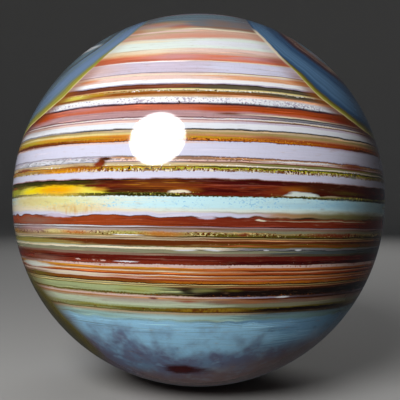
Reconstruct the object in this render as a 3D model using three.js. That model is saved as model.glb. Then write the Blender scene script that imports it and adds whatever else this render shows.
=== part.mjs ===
// Banded agate sphere: one ball of polished stone, cut from a single piece and standing by itself.
// Millimetres, +Z up. The origin is on the surface that the ball stands on, straight under its centre.
// The ball touches that surface with a small level spot, which is what keeps it from rolling away.
import * as THREE from "three";

// Driving dimensions
const DIAMETER = 110;
const REST_SPOT_DIAMETER = 9;

// Fineness of the faceting: flats round the equator, and flats up each half of the outline
const FLATS_ROUND = 72;
const FLATS_UP_EACH_HALF = 18;

// Worked out from the dimensions above
const RADIUS = DIAMETER / 2;
const REST_SPOT_RADIUS = REST_SPOT_DIAMETER / 2;
const CENTRE_HEIGHT = Math.sqrt(RADIUS ** 2 - REST_SPOT_RADIUS ** 2);

// Latitudes on the ball, in radians from its equator
const REST_SPOT_EDGE = -Math.acos(REST_SPOT_RADIUS / RADIUS);
const EQUATOR = 0;
const CROWN = Math.PI / 2;

// Agate seen as a whole: rust, cream and milk-white layers average to a warm pinkish brown under a high polish
const polishedAgate = new THREE.MeshStandardMaterial({
  name: "polished_agate",
  color: 0xb07a60,
  roughness: 0.06,
  metalness: 0,
});

// Points of the outline from one latitude up to another, as distance from the axis and height, without the last
function arcUp(fromLatitude, toLatitude) {
  const points = [];
  for (let flat = 0; flat < FLATS_UP_EACH_HALF; flat += 1) {
    const latitude = THREE.MathUtils.lerp(fromLatitude, toLatitude, flat / FLATS_UP_EACH_HALF);
    const fromAxis = RADIUS * Math.cos(latitude);
    const height = CENTRE_HEIGHT + RADIUS * Math.sin(latitude);
    points.push(new THREE.Vector2(fromAxis, height));
  }
  return points;
}

// Half outline of the ball: out along the rest spot, round to the equator, then round to the crown
function ballOutline() {
  return [
    new THREE.Vector2(0, 0),
    ...arcUp(REST_SPOT_EDGE, EQUATOR),
    ...arcUp(EQUATOR, CROWN),
    new THREE.Vector2(0, CENTRE_HEIGHT + RADIUS),
  ];
}

// The ball: its outline turned once round the upright axis
function makeBall() {
  const geometry = new THREE.LatheGeometry(ballOutline(), FLATS_ROUND);
  geometry.rotateX(Math.PI / 2);
  const ball = new THREE.Mesh(geometry, polishedAgate);
  ball.name = "agate_sphere";
  return ball;
}

const agate = new THREE.Group();
agate.add(makeBall());

export default agate;
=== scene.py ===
"""Banded agate sphere: a polished ball of level-banded agate, with its floor, lamps and camera."""
import logging
import math
from dataclasses import dataclass
from enum import Enum
from typing import Any, Optional, Sequence, Union

import bmesh
import bpy
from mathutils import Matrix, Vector


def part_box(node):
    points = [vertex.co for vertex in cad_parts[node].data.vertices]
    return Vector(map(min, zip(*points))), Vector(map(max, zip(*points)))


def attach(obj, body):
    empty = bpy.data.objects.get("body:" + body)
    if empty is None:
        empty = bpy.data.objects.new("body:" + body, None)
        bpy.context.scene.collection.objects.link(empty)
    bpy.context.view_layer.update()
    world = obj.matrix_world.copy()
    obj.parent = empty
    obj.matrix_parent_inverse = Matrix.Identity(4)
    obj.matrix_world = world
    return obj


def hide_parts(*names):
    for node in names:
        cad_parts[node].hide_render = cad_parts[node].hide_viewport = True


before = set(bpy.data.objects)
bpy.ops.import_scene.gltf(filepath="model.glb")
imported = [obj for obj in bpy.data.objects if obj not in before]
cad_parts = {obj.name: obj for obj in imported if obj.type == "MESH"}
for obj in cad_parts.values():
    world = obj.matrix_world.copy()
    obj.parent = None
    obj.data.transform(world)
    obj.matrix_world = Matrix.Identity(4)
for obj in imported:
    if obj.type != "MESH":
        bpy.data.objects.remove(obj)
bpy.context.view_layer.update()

NODE = "agate_sphere"
BODY = "root"

MM = 0.001

log = logging.getLogger("agate")

Colour = tuple[float, float, float, float]


def linear(tone: tuple[int, int, int], alpha: float = 1.0) -> Colour:
    """Turn a colour as the eye reads it on a screen, 0 to 255, into the linear light that shaders use.

    Args:
        tone: red, green and blue from 0 to 255.
        alpha: the fourth number of the result.

    Returns:
        Red, green, blue and alpha from 0 to 1.
    """
    shares = [channel / 255 for channel in tone]
    light = [share / 12.92 if share <= 0.04045 else ((share + 0.055) / 1.055) ** 2.4 for share in shares]
    return (light[0], light[1], light[2], alpha)


class Tone(Enum):
    """The colours of the stone, named after what they look like."""

    SNOW = (244, 244, 246)
    MILK = (230, 233, 240)
    LAVENDER_MILK = (214, 213, 234)
    LAVENDER = (206, 194, 212)
    LILAC = (184, 176, 196)
    MINT_MILK = (226, 237, 228)
    AQUA_MILK = (204, 241, 248)
    ICE_BLUE = (164, 216, 240)
    BLUSH = (232, 200, 190)
    CREAM = (238, 226, 198)
    CREAM_GOLD = (226, 208, 140)
    STRAW = (232, 222, 96)
    LIME = (176, 174, 52)
    CANARY = (252, 226, 14)
    AMBER = (246, 172, 8)
    HONEY = (214, 148, 42)
    MUSTARD = (186, 140, 30)
    PEACH = (232, 172, 130)
    SHELL = (214, 174, 154)
    SALMON = (220, 128, 100)
    ROSE = (208, 152, 154)
    MAUVE = (180, 143, 146)
    CORAL = (194, 103, 76)
    BURNT_ORANGE = (180, 74, 24)
    ORANGE = (206, 116, 44)
    OCHRE = (190, 108, 24)
    TAN = (194, 142, 96)
    BEIGE = (198, 174, 140)
    KHAKI = (166, 144, 88)
    OLIVE = (108, 96, 30)
    DARK_OLIVE = (58, 56, 12)
    MOSS = (132, 130, 74)
    SAGE = (142, 142, 114)
    CELADON = (178, 190, 138)
    PALE_SAGE = (204, 216, 186)
    RUST = (157, 66, 28)
    BRICK = (126, 44, 24)
    OXBLOOD = (98, 25, 16)
    MAROON = (70, 12, 10)
    CHESTNUT = (104, 46, 14)
    COCOA = (118, 62, 42)
    BRONZE = (140, 76, 24)
    UMBER = (66, 30, 10)
    BITTER = (30, 16, 10)
    SOOT = (20, 19, 18)
    SLATE = (78, 80, 86)
    PEAT = (84, 78, 60)
    DUSTY_PINK = (172, 152, 146)
    PLUM = (62, 38, 46)
    PEWTER = (138, 138, 144)
    GREY_MINT = (176, 188, 170)
    SEA_GREEN = (122, 156, 158)
    MIST_BLUE = (166, 222, 254)
    PALE_TEAL = (168, 208, 204)
    SKY_GREY = (122, 170, 206)
    FOG = (104, 120, 132)
    SMOKE = (104, 100, 130)
    DENIM = (84, 118, 152)
    INK_BLUE = (54, 84, 118)
    STEEL = (112, 134, 146)
    PERIWINKLE = (112, 136, 168)
    STORM = (84, 94, 96)
    LICHEN = (152, 146, 56)
    REED = (92, 104, 84)
    BARK = (98, 66, 64)
    FAWN = (140, 110, 94)

    @property
    def light(self) -> Colour:
        """Give the tone in the light that shaders use."""
        return linear(self.value)


@dataclass(frozen=True)
class Layer:
    """One level layer of the stone.

    Args:
        floor: height of its lower face above the ball's centre, in millimetres.
        west: its colour on the left of the photograph.
        east: its colour on the right, where that is another one.
        turn: where the colour turns from one to the other, in millimetres to the right of the centre.
        edge: how soft its lower face is, in millimetres.
        grain: how strongly the finest lines mark it, from 0 to 1.
    """

    floor: float
    west: Tone
    east: Optional[Tone] = None
    turn: float = 0.0
    edge: float = 0.1
    grain: float = 0.5


LAYERS = (
    Layer(54.2, Tone.DENIM, edge=0.4, grain=0.3),
    Layer(53.3, Tone.STEEL, edge=0.3, grain=0.3),
    Layer(52.9, Tone.MILK, edge=0.2, grain=0.3),
    Layer(51.4, Tone.DENIM, edge=0.5, grain=0.4),
    Layer(50.6, Tone.FAWN, edge=0.4, grain=0.5),
    Layer(50.2, Tone.LILAC, edge=0.3, grain=0.3),
    Layer(48.9, Tone.STEEL, edge=0.5, grain=0.3),
    Layer(48.3, Tone.STEEL, edge=0.3, grain=0.3),
    Layer(47.4, Tone.FOG, edge=0.6, grain=0.3),
    Layer(46.9, Tone.STEEL, edge=0.3, grain=0.3),
    Layer(45.6, Tone.FAWN, Tone.FOG, -6, edge=1.0, grain=0.1),
    Layer(44.2, Tone.DUSTY_PINK, Tone.FOG, 0, edge=0.6, grain=0.3),
    Layer(43.2, Tone.BEIGE, Tone.FAWN, 2, edge=0.9, grain=0.5),
    Layer(42.7, Tone.BEIGE, Tone.CREAM, -6, edge=0.2),
    Layer(42.1, Tone.BLUSH, Tone.SHELL, 0, edge=0.3),
    Layer(41.2, Tone.BEIGE, Tone.SHELL, -6, edge=0.6),
    Layer(39.6, Tone.BEIGE, Tone.SHELL, -20, edge=0.9),
    Layer(38.6, Tone.CREAM, Tone.MINT_MILK, 0, edge=0.5, grain=0.3),
    Layer(37.0, Tone.MINT_MILK, Tone.MILK, 0, edge=0.8, grain=0.2),
    Layer(36.2, Tone.MINT_MILK, edge=0.5, grain=0.3),
    Layer(34.7, Tone.CREAM, Tone.BLUSH, -4, edge=0.9),
    Layer(34.1, Tone.PEACH, Tone.SHELL, -8, edge=0.5),
    Layer(33.1, Tone.SALMON, Tone.ROSE, 8, edge=0.6),
    Layer(32.3, Tone.CORAL, Tone.SALMON, -8, edge=0.4),
    Layer(32.1, Tone.SNOW, Tone.CREAM, 0),
    Layer(31.2, Tone.LAVENDER, Tone.LAVENDER_MILK, 6, edge=0.3),
    Layer(30.2, Tone.LAVENDER, Tone.LAVENDER_MILK, 0, edge=0.3),
    Layer(29.05, Tone.LAVENDER, Tone.LAVENDER_MILK, 4),
    Layer(28.85, Tone.PEWTER, Tone.FAWN, 0),
    Layer(28.5, Tone.BLUSH, Tone.CREAM, 0),
    Layer(28.25, Tone.CREAM, Tone.BLUSH, 2),
    Layer(27.9, Tone.BLUSH, Tone.PEACH, -4),
    Layer(27.45, Tone.BLUSH, Tone.PEACH, 2, edge=0.2),
    Layer(27.1, Tone.BLUSH, Tone.PEACH, 4, edge=0.2),
    Layer(26.1, Tone.SNOW, grain=0.1),
    Layer(25.8, Tone.LILAC),
    Layer(25.55, Tone.UMBER, Tone.BITTER, 4, edge=0.2),
    Layer(24.9, Tone.COCOA, Tone.PEAT, -2, edge=0.2, grain=1.0),
    Layer(24.6, Tone.COCOA, Tone.PEAT, -4, edge=0.2, grain=0.9),
    Layer(24.3, Tone.TAN, Tone.CREAM_GOLD, -16),
    Layer(24.1, Tone.OCHRE, Tone.CREAM, -14),
    Layer(23.85, Tone.KHAKI, Tone.PEAT, 4),
    Layer(23.4, Tone.BRONZE, Tone.PEAT, 8, edge=0.2, grain=0.9),
    Layer(23.1, Tone.BRONZE, Tone.FAWN, 14, edge=0.2, grain=0.9),
    Layer(22.7, Tone.TAN, Tone.PEACH, 0, edge=0.2, grain=0.8),
    Layer(22.4, Tone.BEIGE, Tone.BLUSH, 0, edge=0.2),
    Layer(21.1, Tone.SNOW, Tone.MILK, 0, grain=0.5),
    Layer(20.9, Tone.LILAC, Tone.PEWTER, 0),
    Layer(20.5, Tone.PLUM, edge=0.2),
    Layer(19.8, Tone.CORAL, Tone.RUST, 4, edge=0.4, grain=0.8),
    Layer(19.0, Tone.CORAL, Tone.BURNT_ORANGE, 2, edge=0.4, grain=0.8),
    Layer(18.4, Tone.MAUVE, Tone.CORAL, 8, edge=0.4, grain=0.9),
    Layer(18.15, Tone.MAUVE, Tone.CREAM, 8),
    Layer(17.85, Tone.MAUVE, Tone.SLATE, 6, grain=0.9),
    Layer(17.45, Tone.MAUVE, Tone.PEWTER, 8, grain=0.9),
    Layer(17.3, Tone.PLUM, Tone.SLATE, 8, grain=0.9),
    Layer(17.14, Tone.MAUVE, Tone.LILAC, 0),
    Layer(16.96, Tone.SNOW, Tone.CREAM, 10),
    Layer(16.6, Tone.MAUVE, Tone.FAWN, 10, grain=0.8),
    Layer(16.1, Tone.BLUSH, Tone.LAVENDER, 0, edge=0.2),
    Layer(14.8, Tone.MILK, grain=0.1),
    Layer(14.62, Tone.PEWTER),
    Layer(14.4, Tone.PEWTER, Tone.SOOT, -27),
    Layer(13.9, Tone.KHAKI, Tone.BEIGE, -26, edge=0.3, grain=0.9),
    Layer(13.4, Tone.CREAM_GOLD, Tone.KHAKI, -14, edge=0.3, grain=0.8),
    Layer(12.9, Tone.HONEY, Tone.TAN, -6, edge=0.3, grain=0.9),
    Layer(12.4, Tone.MUSTARD, Tone.RUST, 14, edge=0.2, grain=1.0),
    Layer(11.85, Tone.BRONZE, Tone.OCHRE, -26, grain=1.0),
    Layer(11.7, Tone.UMBER, Tone.CHESTNUT, 10),
    Layer(11.2, Tone.BLUSH, Tone.LAVENDER_MILK, 0, edge=0.4, grain=0.2),
    Layer(8.3, Tone.LAVENDER_MILK, grain=0.1),
    Layer(8.15, Tone.PEWTER, Tone.LILAC, 0),
    Layer(8.0, Tone.LILAC, Tone.PLUM, -16),
    Layer(7.55, Tone.LILAC, Tone.TAN, -20, edge=0.2, grain=0.9),
    Layer(7.35, Tone.LILAC, Tone.FAWN, -20, grain=0.9),
    Layer(7.0, Tone.LILAC, Tone.BLUSH, -18, grain=0.9),
    Layer(6.8, Tone.PEWTER, Tone.CHESTNUT, -14),
    Layer(6.3, Tone.BEIGE, Tone.MOSS, 6, grain=0.9),
    Layer(6.0, Tone.CREAM_GOLD, Tone.CREAM, 0),
    Layer(5.8, Tone.CHESTNUT, Tone.OLIVE, -20),
    Layer(5.65, Tone.HONEY, Tone.SOOT, -14),
    Layer(5.3, Tone.HONEY, Tone.LIME, -22, grain=1.0),
    Layer(4.85, Tone.MUSTARD, Tone.KHAKI, -16, edge=0.15, grain=1.0),
    Layer(3.2, Tone.LAVENDER_MILK, grain=0.1),
    Layer(3.0, Tone.MAUVE, grain=0.2),
    Layer(2.75, Tone.BITTER, Tone.UMBER, 0),
    Layer(1.9, Tone.DARK_OLIVE, Tone.MAROON, -26, edge=0.3, grain=1.0),
    Layer(1.0, Tone.OLIVE, Tone.OXBLOOD, -26, edge=0.4, grain=1.0),
    Layer(-0.1, Tone.LIME, Tone.MAROON, -30, grain=1.0),
    Layer(-0.45, Tone.DARK_OLIVE, Tone.MOSS, 14),
    Layer(-0.85, Tone.BITTER, Tone.DARK_OLIVE, 0),
    Layer(-1.05, Tone.SNOW, Tone.AQUA_MILK, -22, grain=0.1),
    Layer(-2.6, Tone.MINT_MILK, Tone.AQUA_MILK, -14, edge=0.8, grain=0.1),
    Layer(-3.6, Tone.CREAM, Tone.AQUA_MILK, -20, edge=0.8, grain=0.1),
    Layer(-4.4, Tone.CREAM, Tone.MINT_MILK, -14, edge=0.6, grain=0.1),
    Layer(-5.4, Tone.LAVENDER_MILK, Tone.FAWN, 14, edge=0.3, grain=0.3),
    Layer(-5.58, Tone.MAROON),
    Layer(-6.6, Tone.RUST, Tone.BRICK, -14, edge=0.5, grain=0.8),
    Layer(-7.6, Tone.RUST, Tone.BRICK, -10, edge=0.15, grain=0.8),
    Layer(-7.75, Tone.PLUM, grain=0.2),
    Layer(-7.95, Tone.SNOW, Tone.MAUVE, -20),
    Layer(-8.35, Tone.PEWTER, Tone.FAWN, -22, grain=1.0),
    Layer(-8.5, Tone.MILK, Tone.FAWN, -28),
    Layer(-8.95, Tone.DUSTY_PINK, Tone.SAGE, 4, grain=0.9),
    Layer(-9.4, Tone.BEIGE, Tone.KHAKI, -10, edge=0.2, grain=1.0),
    Layer(-9.9, Tone.KHAKI, Tone.OLIVE, -6, grain=1.0),
    Layer(-10.15, Tone.KHAKI, Tone.BITTER, -20),
    Layer(-10.4, Tone.BEIGE, Tone.KHAKI, 2, grain=0.9),
    Layer(-10.6, Tone.SAGE, Tone.CHESTNUT, -16),
    Layer(-10.85, Tone.BEIGE, Tone.TAN, 0, grain=0.9),
    Layer(-11.1, Tone.SAGE, Tone.CHESTNUT, -30, grain=0.9),
    Layer(-11.5, Tone.MOSS, Tone.CHESTNUT, -34, grain=1.0),
    Layer(-11.65, Tone.KHAKI, Tone.OLIVE, -20, grain=1.0),
    Layer(-12.2, Tone.KHAKI, Tone.BRONZE, 0, grain=1.0),
    Layer(-12.45, Tone.GREY_MINT, Tone.OLIVE, -24),
    Layer(-12.95, Tone.CREAM, Tone.PEWTER, 6, grain=0.5),
    Layer(-13.08, Tone.REED, Tone.BITTER, -10),
    Layer(-13.8, Tone.SAGE, Tone.STORM, 20, grain=0.9),
    Layer(-14.4, Tone.FAWN, Tone.PEAT, 16, grain=1.0),
    Layer(-15.6, Tone.COCOA, Tone.OXBLOOD, -36, edge=0.3, grain=0.9),
    Layer(-16.4, Tone.BRICK, Tone.MAROON, 2, grain=0.9),
    Layer(-16.6, Tone.COCOA, Tone.BLUSH, -26, grain=0.5),
    Layer(-17.1, Tone.BLUSH, grain=0.5),
    Layer(-17.5, Tone.HONEY, Tone.ORANGE, -8, edge=0.2, grain=0.9),
    Layer(-17.75, Tone.OCHRE, Tone.RUST, 0, grain=0.9),
    Layer(-18.0, Tone.TAN, Tone.CHESTNUT, 6, grain=0.9),
    Layer(-18.2, Tone.CREAM, Tone.PEACH, -4),
    Layer(-18.6, Tone.ORANGE, Tone.BURNT_ORANGE, 4, grain=0.9),
    Layer(-18.95, Tone.RUST, Tone.CHESTNUT, 6, grain=0.9),
    Layer(-19.15, Tone.CREAM, Tone.TAN, 0),
    Layer(-19.5, Tone.BLUSH, Tone.ORANGE, -18, edge=0.2, grain=0.8),
    Layer(-19.65, Tone.RUST, Tone.CHESTNUT, 0),
    Layer(-19.85, Tone.BLUSH, Tone.PEACH, -14),
    Layer(-20.2, Tone.BRONZE, Tone.RUST, -20, edge=0.2, grain=1.0),
    Layer(-20.7, Tone.BRONZE, Tone.OCHRE, -6, edge=0.2, grain=1.0),
    Layer(-20.95, Tone.BITTER, Tone.UMBER, -20),
    Layer(-21.2, Tone.CREAM_GOLD, Tone.KHAKI, 2, grain=0.8),
    Layer(-21.4, Tone.SAGE, Tone.CHESTNUT, -14),
    Layer(-21.6, Tone.CREAM_GOLD, Tone.TAN, 0, grain=0.9),
    Layer(-21.85, Tone.MOSS, Tone.CHESTNUT, -4, grain=0.9),
    Layer(-22.3, Tone.CELADON, Tone.UMBER, -6, grain=1.0),
    Layer(-23.3, Tone.CELADON, Tone.BITTER, -5, edge=0.3, grain=1.0),
    Layer(-23.7, Tone.OLIVE, Tone.BITTER, -8, grain=0.9),
    Layer(-23.95, Tone.BEIGE, Tone.UMBER, -8),
    Layer(-24.3, Tone.BLUSH, Tone.LILAC, 6, grain=0.6),
    Layer(-24.7, Tone.TAN, Tone.CHESTNUT, 10, grain=0.9),
    Layer(-25.1, Tone.BEIGE, Tone.FAWN, 2, grain=0.9),
    Layer(-25.6, Tone.PALE_SAGE, Tone.FAWN, -2, edge=0.3, grain=0.9),
    Layer(-26.5, Tone.PALE_SAGE, Tone.SAGE, 4, edge=0.3, grain=0.6),
    Layer(-26.9, Tone.CELADON, Tone.OLIVE, -10, edge=0.2, grain=0.8),
    Layer(-27.6, Tone.CELADON, Tone.OLIVE, -22, edge=0.3, grain=0.9),
    Layer(-27.9, Tone.OLIVE, Tone.UMBER, -4, grain=0.9),
    Layer(-28.35, Tone.BEIGE, Tone.PEAT, 14, grain=0.9),
    Layer(-28.8, Tone.GREY_MINT, Tone.STEEL, 10, edge=0.3, grain=0.9),
    Layer(-30.0, Tone.PALE_TEAL, Tone.SEA_GREEN, 8, edge=0.5, grain=0.7),
    Layer(-30.6, Tone.ICE_BLUE, Tone.SKY_GREY, 2, edge=0.4, grain=0.8),
    Layer(-33.5, Tone.MIST_BLUE, Tone.SKY_GREY, 18, edge=1.0, grain=0.7),
    Layer(-46.0, Tone.MIST_BLUE, Tone.SKY_GREY, 22, edge=3.0, grain=0.2),
    Layer(-56.0, Tone.BARK, grain=0.0),
)


@dataclass(frozen=True)
class RoughFace:
    """A place between layers where the lower one grew up in teeth or scallops.

    Args:
        height: above the ball's centre, in millimetres.
        teeth: how far its fine teeth reach, in millimetres.
        scallops: how far its broad scallops reach, in millimetres.
        spread: how far above and below it they fade out, in millimetres.
    """

    height: float
    teeth: float
    scallops: float = 0.0
    spread: float = 0.8


ROUGH_FACES = (
    RoughFace(25.6, 0.05, 0.15, 1.0),
    RoughFace(22.0, 0.25, 0.1),
    RoughFace(20.8, 0.16, 0.1),
    RoughFace(17.3, 0.12, 0.1),
    RoughFace(14.5, 0.08, 0.25, 1.0),
    RoughFace(12.0, 0.4, 0.1),
    RoughFace(7.6, 0.3, 0.2),
    RoughFace(5.2, 0.6, 0.15, 0.9),
    RoughFace(3.0, 0.08, 0.25, 0.7),
    RoughFace(-0.5, 0.4, 0.1, 0.6),
    RoughFace(-5.6, 0.04, 0.6, 1.4),
    RoughFace(-9.4, 0.4, 0.1),
    RoughFace(-12.9, 0.05, 0.2, 0.7),
    RoughFace(-16.3, 0.3, 0.1),
    RoughFace(-20.8, 0.2, 0.1),
    RoughFace(-23.6, 0.3, 0.2),
    RoughFace(-27.4, 0.3, 0.15),
    RoughFace(-30.5, 0.15, 0.6, 1.5),
)


@dataclass(frozen=True)
class Specks:
    """Fine grains of another colour strewn along a layer.

    Args:
        height: above the ball's centre, in millimetres.
        reach: how far above and below it they lie, in millimetres.
        tone: their colour.
        rarity: how few they are, from 0 to 1.
        drawn_out: whether they are upright ticks and not round grains.
        between: whether they fill the gaps that the other grains leave.
    """

    height: float
    reach: float
    tone: Tone
    rarity: float
    drawn_out: bool = False
    between: bool = False


SPECKS = (
    Specks(24.1, 0.35, Tone.SNOW, 0.35),
    Specks(24.1, 0.35, Tone.UMBER, 0.3, between=True),
    Specks(21.7, 0.8, Tone.LILAC, 0.12, between=True),
    Specks(21.9, 0.7, Tone.SNOW, 0.2),
    Specks(21.0, 0.35, Tone.PLUM, 0.35, True),
    Specks(17.05, 0.2, Tone.CREAM, 0.2),
    Specks(12.5, 0.5, Tone.HONEY, 0.25),
    Specks(12.0, 0.5, Tone.CHESTNUT, 0.25, between=True),
    Specks(11.8, 0.3, Tone.UMBER, 0.5, True),
    Specks(7.6, 0.6, Tone.BLUSH, 0.35),
    Specks(7.5, 0.6, Tone.FAWN, 0.3, between=True),
    Specks(5.3, 0.55, Tone.CANARY, 0.45),
    Specks(5.1, 0.6, Tone.CHESTNUT, 0.02, between=True),
    Specks(5.5, 0.4, Tone.SOOT, 0.3, True, between=True),
    Specks(5.0, 0.45, Tone.CREAM, 0.2, True),
    Specks(6.1, 0.3, Tone.SNOW, 0.3),
    Specks(-0.3, 0.4, Tone.STRAW, 0.35, True),
    Specks(-0.5, 0.45, Tone.MOSS, 0.2, between=True),
    Specks(-0.75, 0.3, Tone.DARK_OLIVE, 0.0),
    Specks(-2.2, 1.7, Tone.ICE_BLUE, 0.3, between=True),
    Specks(-9.4, 0.5, Tone.CREAM_GOLD, 0.25),
    Specks(-9.4, 0.55, Tone.CHESTNUT, 0.2, between=True),
    Specks(-9.6, 0.4, Tone.UMBER, 0.35, True),
    Specks(-11.6, 0.3, Tone.TAN, 0.5),
    Specks(-15.9, 0.16, Tone.BLUSH, 0.55),
    Specks(-16.7, 0.3, Tone.CORAL, 0.35, True),
    Specks(-22.6, 0.7, Tone.LIME, 0.75, True),
    Specks(-23.7, 0.3, Tone.BRONZE, 0.3),
    Specks(-27.3, 0.5, Tone.CHESTNUT, 0.35, True),
    Specks(-27.2, 0.5, Tone.LICHEN, 0.4),
)


@dataclass(frozen=True)
class Pool:
    """Lens-shaped pools of another colour that lie along a layer round the sides and the back of the ball.

    Args:
        height: above the ball's centre, in millimetres.
        reach: half the height of the largest, in millimetres.
        tone: their colour.
        field: which of the shared chance fields places them, less than nothing for its other sign.
        rarity: how few they are, from 0 to 1.
        strength: how fully they cover the layers.
        sits: whether they sit on their height with a flat foot.
    """

    height: float
    reach: float
    tone: Tone
    field: int
    rarity: float = 0.2
    strength: float = 0.9
    sits: bool = False


POOLS = (
    Pool(-0.3, 2.1, Tone.CANARY, 1, 0.1, sits=True),
    Pool(0.5, 1.1, Tone.AMBER, 1, 0.3),
    Pool(-0.3, 1.4, Tone.MINT_MILK, -2, 0.25, sits=True),
    Pool(1.4, 0.9, Tone.BURNT_ORANGE, 3, 0.2),
    Pool(2.0, 0.6, Tone.OCHRE, -3, 0.3),
    Pool(-2.0, 1.3, Tone.STRAW, 1, 0.1, 0.7),
    Pool(-2.8, 1.2, Tone.ICE_BLUE, 2, 0.2, 0.8),
    Pool(-4.9, 0.7, Tone.TAN, -2, 0.2),
    Pool(5.4, 0.8, Tone.ORANGE, 2, 0.2),
    Pool(7.5, 0.6, Tone.BRICK, -1, 0.25),
    Pool(7.6, 0.4, Tone.SNOW, 3, 0.2),
    Pool(12.5, 0.8, Tone.BURNT_ORANGE, -3, 0.2),
    Pool(13.4, 0.7, Tone.LICHEN, 1, 0.3, 0.7),
    Pool(17.5, 0.7, Tone.SLATE, 2, 0.2),
    Pool(19.4, 1.1, Tone.OXBLOOD, -2, 0.2, 0.8),
    Pool(23.9, 0.9, Tone.CANARY, -1, 0.15),
    Pool(28.0, 0.7, Tone.ORANGE, 3, 0.25, 0.8),
    Pool(33.4, 1.0, Tone.RUST, -3, 0.2, 0.8),
    Pool(36.8, 1.4, Tone.SNOW, 1, 0.2, 0.8),
    Pool(40.5, 1.3, Tone.CORAL, 2, 0.3, 0.7),
    Pool(-6.7, 0.9, Tone.BURNT_ORANGE, 1, 0.1, 0.8),
    Pool(-9.5, 0.7, Tone.HONEY, 2, 0.15),
    Pool(-11.8, 0.7, Tone.LICHEN, -3, 0.2),
    Pool(-12.8, 0.5, Tone.SNOW, 3, 0.3),
    Pool(-14.0, 0.7, Tone.MOSS, 1, 0.2, 0.8),
    Pool(-15.9, 0.3, Tone.BLUSH, -1, 0.25),
    Pool(-17.6, 0.8, Tone.GREY_MINT, -2, 0.2),
    Pool(-20.4, 0.6, Tone.OLIVE, 3, 0.2),
    Pool(-22.6, 0.8, Tone.LICHEN, 2, 0.25),
    Pool(-25.1, 0.6, Tone.BURNT_ORANGE, -1, 0.2),
    Pool(-27.3, 0.7, Tone.MUSTARD, 1, 0.25),
    Pool(-29.5, 0.8, Tone.AQUA_MILK, -3, 0.2, 0.7),
)


class Drawn(Enum):
    """How the colour of a lens lies in it."""

    SOLID = "all through"
    FIBRES = "in upright fibres"
    VEINS = "in fine wandering veins"
    STREAKS = "in streaks along the layers"


@dataclass(frozen=True)
class Lens:
    """A lens or stain of another colour inside the layers, an ellipsoid that the ball's surface cuts.

    Args:
        bearing: degrees round the ball from the middle of the photograph's view, to the right.
        height: height above the ball's centre, in millimetres.
        half_length: half its length along the surface, in millimetres.
        half_height: half its height, in millimetres.
        tone: its colour.
        edge: how soft its border is, as a share of its size.
        strength: how fully it covers the layers.
        sits: whether it sits on its height with a flat foot and shows only its upper half.
        drawn: how its colour lies in it.
    """

    bearing: float
    height: float
    half_length: float
    half_height: float
    tone: Tone
    edge: float = 0.25
    strength: float = 1.0
    sits: bool = False
    drawn: Drawn = Drawn.SOLID


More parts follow.
